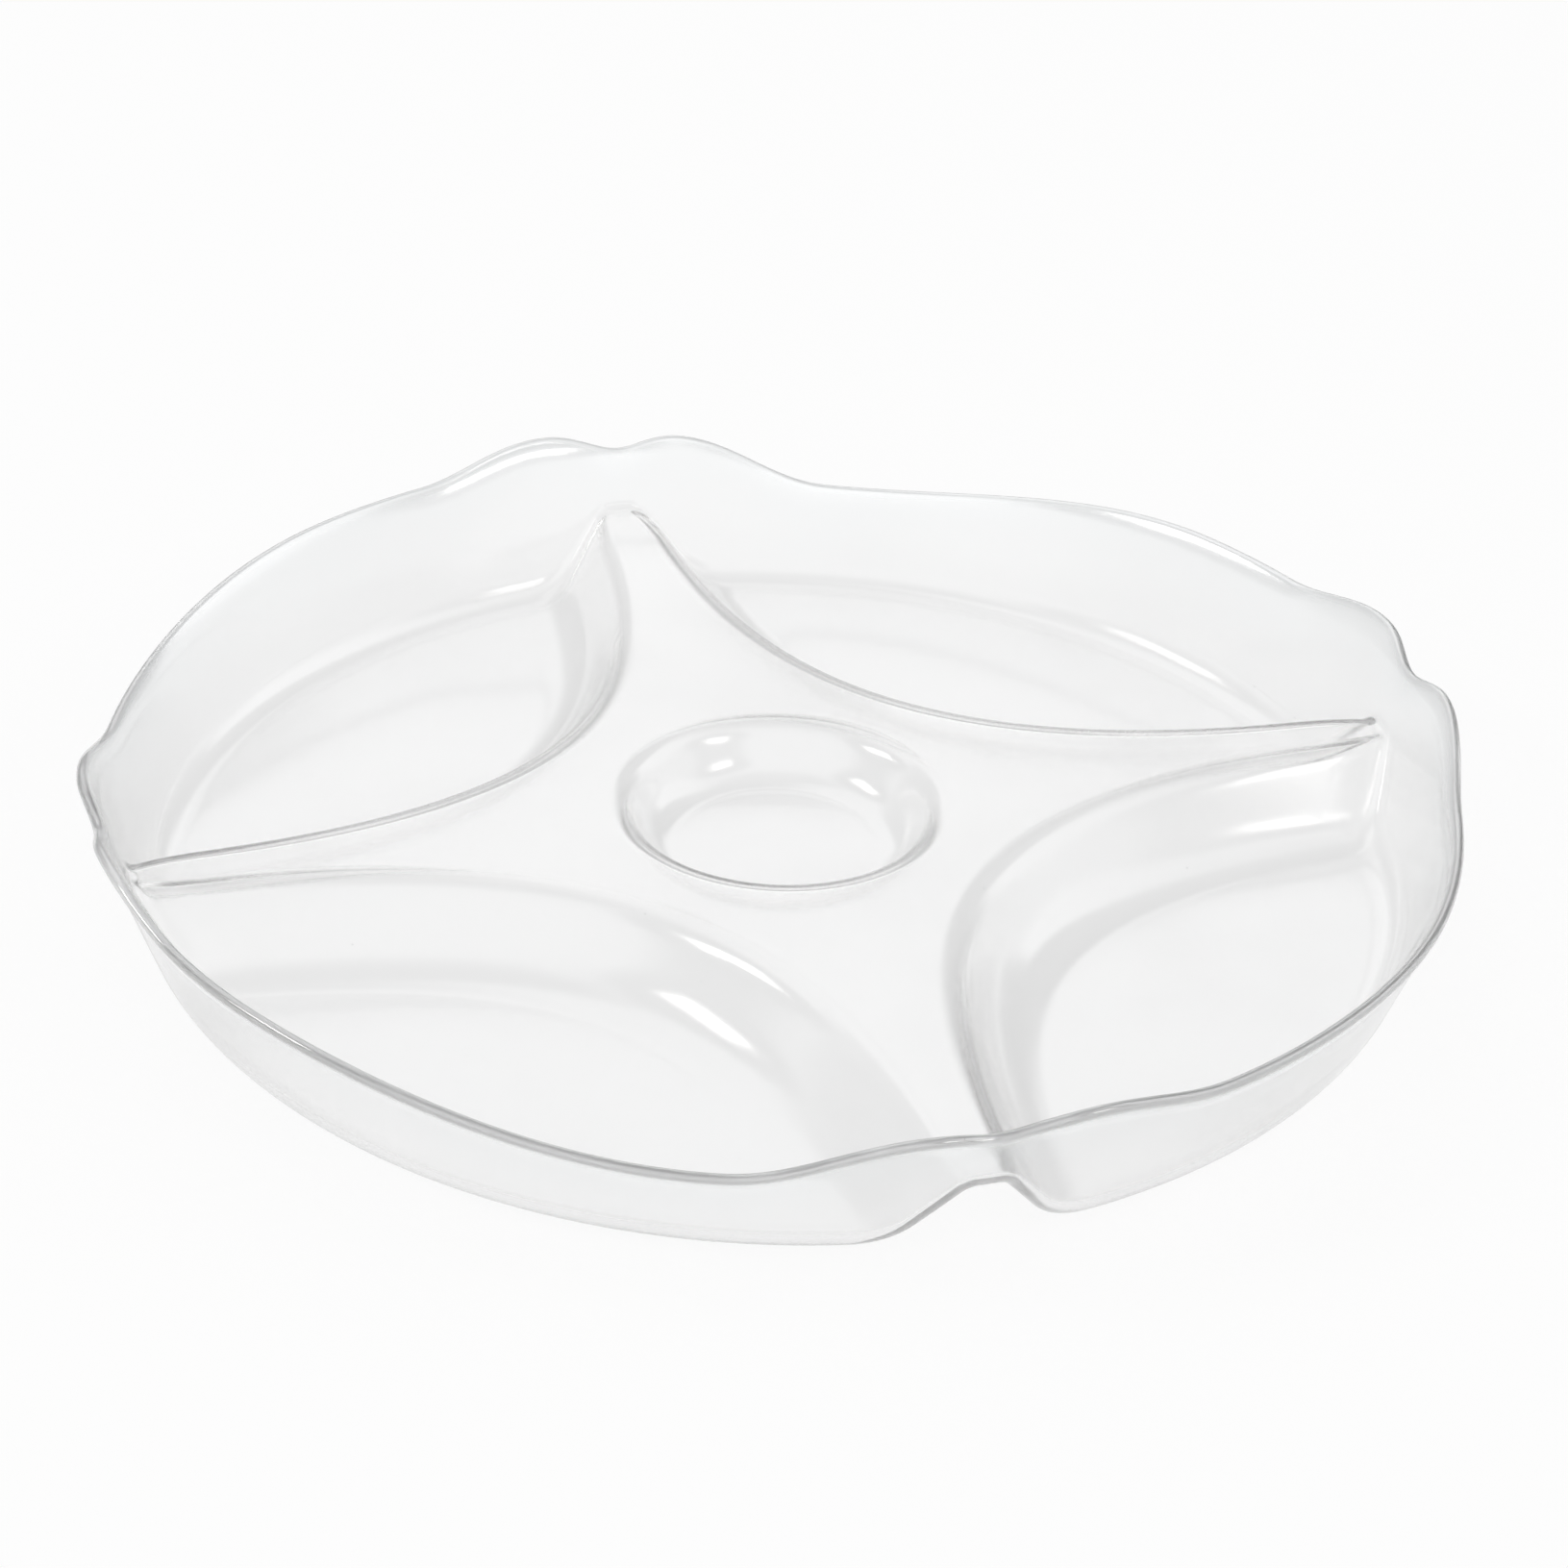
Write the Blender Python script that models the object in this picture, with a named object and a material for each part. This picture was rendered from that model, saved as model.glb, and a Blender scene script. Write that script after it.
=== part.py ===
"""A clear candy dish: four wells round a raised star with a dip cup, moulded as one thin sheet.

The real dish is a single moulding. Its sheet is divided here along its own edges into named
regions, with a hairline seam between neighbours, so that each wall and floor is a simple solid.

Metres, +Z up. The origin is the centre of the base, and the arms of the star lie along X and Y.
"""

import math

import bmesh
import bpy
import numpy as np

# The moulded sheet
SHEET = 0.0022
SEAM = 0.0003

# The outer wall: its radius where it would reach the table, its lean, and the bend at its foot
BASE_RADIUS = 0.1272
WALL_LEAN = math.radians(19.5)
FOOT_BEND = 0.0020

# The flare at the top of the wall: its lean, the bend that leads into it, and the cone its edge lies on
FLARE_LEAN = math.radians(50.0)
FLARE_BEND = 0.0022
RIM_LEAN = math.radians(21.8)

# The wavy rim: its height along a well, two humps and a notch at each arm, and a dip beside each arm
RIM_HEIGHT = 0.0308
HUMP_RISE = 0.0050
HUMP_ANGLE = math.radians(7.3)
HUMP_SPREAD = math.radians(12.8)
DEEP_DIP = 0.0075
SHALLOW_DIP = 0.0037
DIP_ANGLE = math.radians(22.2)
DIP_RUN = math.radians(37.5)
DIP_RISE = math.radians(25.0)
NOTCH_DROP = 0.0012
NOTCH_PINCH = 0.0014
NOTCH_SPREAD = math.radians(6.0)

# The raised star and the flanks that drop from it into the wells
STAR_HEIGHT = 0.0190
STAR_WAIST = 0.0467
ARM_WIDTH = 0.0080
TIP_START = 0.1180
TIP_TAPER = 0.0008
FLANK_RUN = 0.0235
FLANK_TAPER = 0.0055
CREST_BEND = 0.0060
FLANK_FOOT_BEND = 0.0160

# The dip cup in the middle of the star
CUP_LIP_RADIUS = 0.0355
CUP_FLOOR_RADIUS = 0.0210
CUP_DEPTH = 0.0112
CUP_LIP_BEND = 0.0060
CUP_FLOOR_BEND = 0.0080

# Where the star is divided into its middle and its arms, and the rim into arches and lobes
PLATEAU_REACH = 0.0620
ARCH_HALF_ANGLE = math.radians(13.5)

# How finely the curved faces are divided
FLANK_COLUMNS = 19
FLANK_ROWS = 9
ARCH_COLUMNS = 19
LOBE_COLUMNS = 15
FOOT_ROWS = 6
FLARE_ROWS = 7
CUP_COLUMNS = 48
CUP_ROWS = 11
OUTLINE_POINTS = 17
SOLVER_STEPS = 50
SLOPE_STEP = 0.00001
SHARP_ANGLE = math.radians(35.0)

QUARTER = math.pi / 2
ARM_NAMES = ("right", "back", "left", "front")
WELL_NAMES = ("back_right", "back_left", "front_left", "front_right")

ARM_HALF = ARM_WIDTH / 2
# Each star edge is a parabola that touches the sides of two arms this far beyond their crossing
EDGE_REACH = 4 * (STAR_WAIST / math.sqrt(2) - ARM_HALF)


def raised_cosine(offset, spread):
    """A smooth bump of height 1 at offset 0 that falls to 0 at either end of its spread."""
    return 0.5 + 0.5 * np.cos(np.pi * np.clip(offset / spread, -1, 1))


def ramp(distance, run, drop, first_bend, last_bend):
    """The fall along an S-shaped slope: an arc at its top, a straight flank and an arc at its foot."""
    square = run * run - (2 * (first_bend + last_bend) - drop) * drop
    slope = 2 * np.arctan(drop / (run + np.sqrt(np.clip(square, 0, None))))
    first_arc = first_bend * np.sin(slope)
    last_arc = last_bend * np.sin(slope)
    near = np.clip(distance, 0, first_arc)
    far = np.clip(run - distance, 0, last_arc)
    middle = np.clip(distance, first_arc, run - last_arc) - first_arc
    first = first_bend - np.sqrt(first_bend * first_bend - near * near)
    last = np.sqrt(last_bend * last_bend - far * far) - last_bend * np.cos(slope)
    return first + middle * np.tan(slope) + last


def from_each_arm(angle):
    """The angle measured from each of the four arms in turn, wrapped to half a turn either way."""
    return [(angle - arm * QUARTER + math.pi) % (2 * math.pi) - math.pi for arm in range(4)]


def rim_height(angle):
    """The height of the rim: two humps and a notch at each arm, and a long dip on one side of it."""
    height = np.full_like(angle, RIM_HEIGHT)
    for arm, offset in enumerate(from_each_arm(angle)):
        dip = DEEP_DIP if arm % 2 else SHALLOW_DIP
        for side in (-1, 1):
            height += HUMP_RISE * raised_cosine(offset + side * HUMP_ANGLE, HUMP_SPREAD)
        height -= NOTCH_DROP * raised_cosine(offset, NOTCH_SPREAD)
        from_dip = offset + DIP_ANGLE
        height -= dip * raised_cosine(from_dip, np.where(from_dip < 0, DIP_RUN, DIP_RISE))
    return height


def rim_radius(angle):
    """The radius of the rim's edge, which lies on a cone and is pinched in to a notch at each arm."""
    pinch = sum(raised_cosine(offset, NOTCH_SPREAD) for offset in from_each_arm(angle))
    return BASE_RADIUS + rim_height(angle) * math.tan(RIM_LEAN) - NOTCH_PINCH * pinch


def edge_lean(x, y):
    """Where a point lies between two arms: 0 midway, and 1 or -1 beside the end of either arm."""
    return np.clip((np.abs(x) - np.abs(y)) / EDGE_REACH, -1, 1)


def tip_taper(along):
    """How much narrower each side of an arm is at this distance along it, towards its tip at the wall."""
    return TIP_TAPER * (np.clip(along - TIP_START, 0, None) / (BASE_RADIUS - TIP_START)) ** 2


def star_distance(x, y):
    """How far a point lies outside the star's edge, with a parabola between neighbouring arms."""
    lean = edge_lean(x, y)
    blend = EDGE_REACH * (1 - np.abs(lean)) ** 2 / 4
    half_width = ARM_HALF - tip_taper(np.maximum(np.abs(x), np.abs(y)))
    nearest = np.minimum(np.abs(x), np.abs(y)) - half_width
    return (nearest - blend) / np.sqrt((1 + lean * lean) / 2)


def flank_run(lean):
    """How far a flank runs out from the star's edge, which tapers towards the end of an arm."""
    return FLANK_RUN - FLANK_TAPER * lean**4


def bed_height(x, y):
    """The top face of the star, its flanks, the well floors and the cup, without the outer wall."""
    run = flank_run(edge_lean(x, y))
    foot_bend = FLANK_FOOT_BEND * (run / FLANK_RUN) ** 2
    flank = ramp(star_distance(x, y), run, STAR_HEIGHT - SHEET, CREST_BEND, foot_bend)
    cup_run = CUP_LIP_RADIUS - CUP_FLOOR_RADIUS
    cup = ramp(CUP_LIP_RADIUS - np.hypot(x, y), cup_run, CUP_DEPTH, CUP_LIP_BEND, CUP_FLOOR_BEND)
    return STAR_HEIGHT - flank - cup


def round_bend(reach, first_lean, last_lean):
    """How far round a bend a point lies, from 0 to 1, and the height there above the corner it rounds off.

    The bend is a parabola that touches both straight runs one unit from their corner, at reach 0.
    """
    first, last = math.sin(first_lean), math.sin(last_lean)
    root = np.sqrt(np.clip(first * first + (last - first) * (first + reach), 0, None))
    share = np.clip((root - first) / (last - first), 0, 1)
    return share, math.cos(last_lean) * share**2 - math.cos(first_lean) * (1 - share) ** 2


def flare_corner(angle):
    """The radius at which the straight wall and the flare that hangs from the rim would meet."""
    wall_slope, flare_slope = 1 / math.tan(WALL_LEAN), 1 / math.tan(FLARE_LEAN)
    rim_drop = rim_height(angle) - (rim_radius(angle) - BASE_RADIUS) * flare_slope
    return BASE_RADIUS + rim_drop / (wall_slope - flare_slope)


def top_height(x, y):
    """The top face of the whole dish: the bed, a bend up into the wall, and a bend out into the flare."""
    angle = np.arctan2(y, x)
    radius = np.hypot(x, y)
    bed = bed_height(x, y)
    wall = (radius - BASE_RADIUS) / math.tan(WALL_LEAN)
    reach = (radius - BASE_RADIUS - bed * math.tan(WALL_LEAN)) / FOOT_BEND
    _, rise = round_bend(reach, QUARTER, WALL_LEAN)
    corner = flare_corner(angle)
    flare = rim_height(angle) - (rim_radius(angle) - radius) / math.tan(FLARE_LEAN)
    turn, climb = round_bend((radius - corner) / FLARE_BEND, WALL_LEAN, FLARE_LEAN)
    turned_out = (corner - BASE_RADIUS) / math.tan(WALL_LEAN) + climb * FLARE_BEND
    height = np.where(reach < math.sin(WALL_LEAN), bed + rise * FOOT_BEND, wall)
    return np.where(turn <= 0, height, np.where(turn < 1, turned_out, flare))


def foot_radius(x, y):
    """The radius at which the bend up into the outer wall begins, above the bed at this point."""
    return BASE_RADIUS + bed_height(x, y) * math.tan(WALL_LEAN) - FOOT_BEND


def wall_foot(angle):
    """The radius at which the bend up into the outer wall begins, at each angle."""
    radius = np.full_like(angle, BASE_RADIUS)
    for _ in range(SOLVER_STEPS):
        radius = foot_radius(radius * np.cos(angle), radius * np.sin(angle))
    return radius


def edge_path(place, offset):
    """Points beside the star's edge in the first quarter: 0 to 1 along the parabola, then straight on."""
    along = np.clip(place, 0, 1)
    x = ARM_HALF + EDGE_REACH * ((1 - along) ** 2 + 2 * np.clip(-place, 0, None))
    y = ARM_HALF + EDGE_REACH * (along**2 + 2 * np.clip(place - 1, 0, None))
    x, y = x - tip_taper(y), y - tip_taper(x)
    length = np.hypot(along, 1 - along)
    return x + offset * along / length, y + offset * (1 - along) / length


def beside_edge(place, share):
    """Points on a flank: a place along the star's edge, and a share of the way down from it to the foot."""
    lean = 1 - 2 * np.clip(place, 0, 1)
    return edge_path(place, share * flank_run(lean))


def edge_end(path, across):
    """The place at which a path beside the star's edge meets the outer wall, less half a seam."""
    inner = np.full_like(across, 0.5)
    outer = np.full_like(across, -0.5)
    for _ in range(SOLVER_STEPS):
        middle = (inner + outer) / 2
        x, y = path(middle, across)
        beyond = np.hypot(x, y) > foot_radius(x, y) - SEAM / 2
        inner = np.where(beyond, inner, middle)
        outer = np.where(beyond, middle, outer)
    return inner


def eased(first, last, count):
    """Places from first to last that crowd together towards both ends."""
    share = np.linspace(0, 1, count)
    return first + (last - first) * share * share * (3 - 2 * share)


def turned(x, y, quarter):
    """The points turned by whole quarter turns about the dish's axis."""
    angle = quarter * QUARTER
    return x * math.cos(angle) - y * math.sin(angle), x * math.sin(angle) + y * math.cos(angle)


def add_object(name, mesh, dish, material):
    """Adds a finished mesh as one named region of the dish."""
    mesh.shade_smooth()
    mesh.set_sharp_from_angle(angle=SHARP_ANGLE)
    mesh.materials.append(material)
    region = bpy.data.objects.new(name, mesh)
    region.parent = dish
    bpy.context.scene.collection.objects.link(region)


def sheet_mesh(name, x, y, ring=False):
    """A piece of the sheet over a grid of plan points: the top face, and a face one sheet below it."""
    columns, rows = x.shape
    z = top_height(x, y)
    slope_x = (top_height(x + SLOPE_STEP, y) - top_height(x - SLOPE_STEP, y)) / (2 * SLOPE_STEP)
    slope_y = (top_height(x, y + SLOPE_STEP) - top_height(x, y - SLOPE_STEP)) / (2 * SLOPE_STEP)
    normal = np.stack([-slope_x, -slope_y, np.ones_like(z)], axis=-1)
    normal /= np.linalg.norm(normal, axis=-1, keepdims=True)
    top = np.stack([x, y, z], axis=-1)
    bottom = top - SHEET * normal
    points = np.concatenate([top.reshape(-1, 3), bottom.reshape(-1, 3)])
    below = columns * rows
    faces = []
    for column in range(columns if ring else columns - 1):
        here = column * rows
        there = (column + 1) % columns * rows
        for row in range(rows - 1):
            corners = (here + row, there + row, there + row + 1, here + row + 1)
            faces.append(corners)
            faces.append(tuple(corner + below for corner in reversed(corners)))
        for row in (0, rows - 1):
            faces.append((here + row, there + row, there + row + below, here + row + below))
    for column in () if ring else (0, columns - 1):
        for row in range(rows - 1):
            corner = column * rows + row
            faces.append((corner, corner + 1, corner + 1 + below, corner + below))
    mesh = bpy.data.meshes.new(name)
    mesh.from_pydata(points.tolist(), [], faces)
    shape = bmesh.new()
    shape.from_mesh(mesh)
    bmesh.ops.recalc_face_normals(shape, faces=shape.faces)
    shape.to_mesh(mesh)
    shape.free()
    return mesh


def plate_mesh(name, x, y, top):
    """A flat piece of the sheet: an outline at the height of its top face, extruded down."""
    shape = bmesh.new()
    outline = [shape.verts.new((float(a), float(b), top)) for a, b in zip(x, y)]
    face = shape.faces.new(outline)
    lower = bmesh.ops.extrude_face_region(shape, geom=[face])["geom"]
    moved = [part for part in lower if isinstance(part, bmesh.types.BMVert)]
    bmesh.ops.translate(shape, verts=moved, vec=(0, 0, -SHEET))
    bmesh.ops.recalc_face_normals(shape, faces=shape.faces)
    mesh = bpy.data.meshes.new(name)
    shape.to_mesh(mesh)
    shape.free()
    return mesh


def cup_floor_mesh():
    """The flat round floor of the dip cup."""
    angle = np.linspace(0, 2 * math.pi, CUP_COLUMNS, endpoint=False)
    radius = CUP_FLOOR_RADIUS - SEAM / 2
    top = STAR_HEIGHT - CUP_DEPTH
    return plate_mesh("dip_cup_floor", radius * np.cos(angle), radius * np.sin(angle), top)


def cup_wall_mesh(well):
    """The quarter of the dip cup's round wall nearest one well, from the cup's floor up to its lip."""
    seam_angle = SEAM / (2 * CUP_FLOOR_RADIUS)
    angle = np.linspace(seam_angle, QUARTER - seam_angle, CUP_COLUMNS // 4 + 1)[:, None]
    radius = np.linspace(CUP_FLOOR_RADIUS + SEAM / 2, CUP_LIP_RADIUS - SEAM / 2, CUP_ROWS)[None, :]
    x, y = radius * np.cos(angle), radius * np.sin(angle)
    return sheet_mesh(f"dip_cup_wall_{WELL_NAMES[well]}", *turned(x, y, well))


def plateau_mesh():
    """The flat middle of the star, between the cup's lip, the four star edges and the arms."""
    cut = PLATEAU_REACH - SEAM / 2
    start = 1 - math.sqrt((cut - ARM_HALF) / EDGE_REACH)
    edge_x, edge_y = edge_path(np.linspace(start, 1 - start, OUTLINE_POINTS), -SEAM / 2)
    across = np.linspace(edge_x[-1], -edge_x[-1], OUTLINE_POINTS)[1:-1]
    side_x = np.concatenate([edge_x, across])
    side_y = np.concatenate([edge_y, np.full_like(across, edge_y[-1])])
    sides = [turned(side_x, side_y, quarter) for quarter in range(4)]
    outer_x = np.concatenate([side[0] for side in sides])
    outer_y = np.concatenate([side[1] for side in sides])
    angle = np.arctan2(outer_y, outer_x)
    inner = CUP_LIP_RADIUS + SEAM / 2
    x = np.stack([inner * np.cos(angle), outer_x], axis=1)
    y = np.stack([inner * np.sin(angle), outer_y], axis=1)
    return sheet_mesh("star_plateau", x, y, ring=True)


def arm_mesh(arm):
    """The flat top of one arm, which narrows from the middle of the star to the outer wall."""
    cut = PLATEAU_REACH + SEAM / 2
    start = 1 - math.sqrt((cut - ARM_HALF) / EDGE_REACH)
    end = edge_end(edge_path, np.array([-SEAM / 2]))[0]
    side_x, side_y = edge_path(np.linspace(start, end, OUTLINE_POINTS), -SEAM / 2)
    tip = np.arctan2(side_y[-1], side_x[-1]) * np.linspace(1, -1, OUTLINE_POINTS)[1:-1]
    tip_radius = wall_foot(tip) - SEAM / 2
    x = np.concatenate([side_x, tip_radius * np.cos(tip), side_x[::-1]])
    y = np.concatenate([side_y, tip_radius * np.sin(tip), -side_y[::-1]])
    return plate_mesh(f"divider_arm_{ARM_NAMES[arm]}", *turned(x, y, arm), STAR_HEIGHT)


def flank_mesh(well, half):
    """Half of the curved inner side of one well, which drops from the star's edge to the well's floor.

    The first half runs along the arm that opens the well, the second along the next arm.
    """
    seam_share = SEAM / (2 * FLANK_RUN)
    down = np.linspace(seam_share, 1 - seam_share, FLANK_ROWS)
    end = edge_end(beside_edge, down)
    middle = 0.5 - SEAM / (2 * EDGE_REACH)
    along = eased(0, 1, FLANK_COLUMNS)[:, None]
    x, y = beside_edge(end + (middle - end) * along, down)
    if half == 1:
        x, y = y, x
    name = f"well_inner_wall_{WELL_NAMES[well]}_at_{ARM_NAMES[(well + half) % 4]}_arm"
    return sheet_mesh(name, *turned(x, y, well))


def floor_mesh(well):
    """The flat floor of one well, between the foot of its inner side and the outer wall's bend."""
    down = np.array([1 + SEAM / (2 * FLANK_RUN)])
    end = edge_end(beside_edge, down)[0]
    foot_x, foot_y = beside_edge(eased(end, 1 - end, 2 * OUTLINE_POINTS), down)
    tip = np.arctan2(foot_y[-1], foot_x[-1])
    angle = np.linspace(tip, QUARTER - tip, 2 * OUTLINE_POINTS)[1:-1]
    radius = wall_foot(angle) - SEAM / 2
    x = np.concatenate([foot_x, radius * np.cos(angle)])
    y = np.concatenate([foot_y, radius * np.sin(angle)])
    return plate_mesh(f"well_floor_{WELL_NAMES[well]}", *turned(x, y, well), SHEET)


def wall_mesh(name, first_angle, last_angle, columns):
    """A stretch of the outer wall between two angles, from the bend at its foot up to the wavy rim."""
    seam_angle = SEAM / (2 * BASE_RADIUS)
    angle = np.linspace(first_angle + seam_angle, last_angle - seam_angle, columns)
    foot = wall_foot(angle)
    bend_end = foot + FOOT_BEND * (1 + math.sin(WALL_LEAN))
    flare_start = np.maximum(flare_corner(angle) - FLARE_BEND * math.sin(WALL_LEAN), bend_end + SEAM)
    lower = np.linspace(foot + SEAM / 2, bend_end, FOOT_ROWS, axis=1)
    upper = np.linspace(flare_start, rim_radius(angle), FLARE_ROWS, axis=1)
    radius = np.concatenate([lower, upper], axis=1)
    return sheet_mesh(name, radius * np.cos(angle)[:, None], radius * np.sin(angle)[:, None])


def clear_plastic():
    """Clear, colourless moulded plastic with a polished face."""
    material = bpy.data.materials.new("clear_plastic")
    material.use_nodes = True
    shader = material.node_tree.nodes["Principled BSDF"]
    shader.inputs["Base Color"].default_value = (0.93, 0.945, 0.95, 1.0)
    shader.inputs["Roughness"].default_value = 0.06
    shader.inputs["Metallic"].default_value = 0.0
    shader.inputs["Transmission Weight"].default_value = 1.0
    shader.inputs["IOR"].default_value = 1.49
    return material


def main():
    """Clears the scene and builds every region of the dish under one empty."""
    for old in list(bpy.data.objects):
        bpy.data.objects.remove(old)
    dish = bpy.data.objects.new("candy_dish", None)
    bpy.context.scene.collection.objects.link(dish)
    meshes = [cup_floor_mesh(), plateau_mesh()]
    for quarter in range(4):
        arm_angle = quarter * QUARTER
        meshes.append(cup_wall_mesh(quarter))
        meshes.append(arm_mesh(quarter))
        meshes.append(flank_mesh(quarter, half=0))
        meshes.append(flank_mesh(quarter, half=1))
        meshes.append(floor_mesh(quarter))
        arch_end = arm_angle + ARCH_HALF_ANGLE
        lobe_end = arm_angle + QUARTER - ARCH_HALF_ANGLE
        arch_start = arm_angle - ARCH_HALF_ANGLE
        meshes.append(wall_mesh(f"rim_arch_{ARM_NAMES[quarter]}", arch_start, arch_end, ARCH_COLUMNS))
        meshes.append(wall_mesh(f"rim_wall_{WELL_NAMES[quarter]}", arch_end, lobe_end, LOBE_COLUMNS))
    material = clear_plastic()
    for mesh in meshes:
        add_object(mesh.name, mesh, dish, material)


main()
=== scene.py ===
"""The looks of a clear moulded candy dish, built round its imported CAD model.

The dish is one thin polished moulding, so one closed shell stands for all of the CAD regions. It
stands on a white sweep under soft studio light, seen from the photograph's viewing angle.

Metres, +Z up. The origin is the centre of the base, and the arms of the star lie along X and Y.
"""

import logging
import math
from dataclasses import dataclass, field, replace
from enum import Enum

import bpy
import numpy as np
from mathutils import Matrix, Vector

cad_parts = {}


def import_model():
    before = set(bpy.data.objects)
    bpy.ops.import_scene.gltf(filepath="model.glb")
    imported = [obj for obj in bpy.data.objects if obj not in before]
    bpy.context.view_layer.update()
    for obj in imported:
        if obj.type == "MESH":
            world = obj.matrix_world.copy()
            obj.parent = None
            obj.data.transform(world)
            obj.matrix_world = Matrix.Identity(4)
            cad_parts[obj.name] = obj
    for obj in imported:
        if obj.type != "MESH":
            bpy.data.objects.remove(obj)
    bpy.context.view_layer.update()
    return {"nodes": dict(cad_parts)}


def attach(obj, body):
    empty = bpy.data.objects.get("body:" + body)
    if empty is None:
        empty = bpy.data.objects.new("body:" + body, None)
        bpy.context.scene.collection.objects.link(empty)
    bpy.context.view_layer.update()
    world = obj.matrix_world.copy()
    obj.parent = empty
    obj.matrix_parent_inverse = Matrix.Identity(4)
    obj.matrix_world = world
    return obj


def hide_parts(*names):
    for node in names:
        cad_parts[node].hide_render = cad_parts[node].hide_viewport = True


Array = np.ndarray
Span = Array | float
Colour = tuple[float, float, float, float]
Direction = tuple[float, float]
Limits = tuple[float, float]
Nodes = bpy.types.NodeTree
Socket = bpy.types.NodeSocket

PHOTO_PIXELS = 1631
QUARTER = math.pi / 2
RIM_ATTRIBUTE = "rim_share"
MILLIMETRE = 0.001
SOFT_DETAIL = 1.0
FINE_DETAIL = 2.0

log = logging.getLogger("candy_dish")


class Arm(Enum):
    """The arms of the star, in quarter turns from +X."""

    RIGHT = 0
    BACK = 1
    LEFT = 2
    FRONT = 3

    @property
    def angle(self) -> float:
        """The direction in which the arm points."""
        return self.value * QUARTER

    @property
    def dips_deeply(self) -> bool:
        """Whether the rim dips deeply beside this arm, as it does at the back and the front."""
        return self in (Arm.BACK, Arm.FRONT)


def raised_cosine(offset: Array, spread: Span) -> Array:
    """A smooth bump: half of one plus the cosine, 1 at offset 0 and 0 at either end of its spread.

    Args:
        offset: Distances from the middle of the bump.
        spread: The distance at which the bump has died away.

    Returns:
        The height of the bump at each offset.
    """
    return 0.5 + 0.5 * np.cos(np.pi * np.clip(offset / spread, -1, 1))


def ramp(distance: Array, run: Span, drop: float, top_bend: Span, foot_bend: Span) -> Array:
    """The fall along an S-shaped slope: an arc at its top, a straight flank and an arc at its foot.

    Args:
        distance: How far along the slope, measured level, each point lies.
        run: The level length of the whole slope.
        drop: The height of the whole slope.
        top_bend: The radius of the arc at the top.
        foot_bend: The radius of the arc at the foot.

    Returns:
        How far each point lies below the top of the slope.
    """
    square = run * run - (2 * (top_bend + foot_bend) - drop) * drop
    slope = 2 * np.arctan(drop / (run + np.sqrt(np.clip(square, 0, None))))
    top_arc = top_bend * np.sin(slope)
    foot_arc = foot_bend * np.sin(slope)
    near = np.clip(distance, 0, top_arc)
    far = np.clip(run - distance, 0, foot_arc)
    middle = np.clip(distance, top_arc, run - foot_arc) - top_arc
    fall = top_bend - np.sqrt(top_bend * top_bend - near * near)
    rest = np.sqrt(foot_bend * foot_bend - far * far) - foot_bend * np.cos(slope)
    return fall + middle * np.tan(slope) + rest


def round_bend(reach: Array, first_lean: float, last_lean: float) -> tuple[Array, Array]:
    """A bend between two straight runs: a parabola that touches both one unit from their corner.

    Args:
        reach: Level distances from the corner, in units of the bend's length.
        first_lean: The lean of the run that comes before, from upright.
        last_lean: The lean of the run that comes after, from upright.

    Returns:
        How far round the bend each point lies, from 0 to 1, and its height above the corner.
    """
    first, last = math.sin(first_lean), math.sin(last_lean)
    root = np.sqrt(np.clip(first * first + (last - first) * (first + reach), 0, None))
    share = np.clip((root - first) / (last - first), 0, 1)
    return share, math.cos(last_lean) * share**2 - math.cos(first_lean) * (1 - share) ** 2


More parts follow.
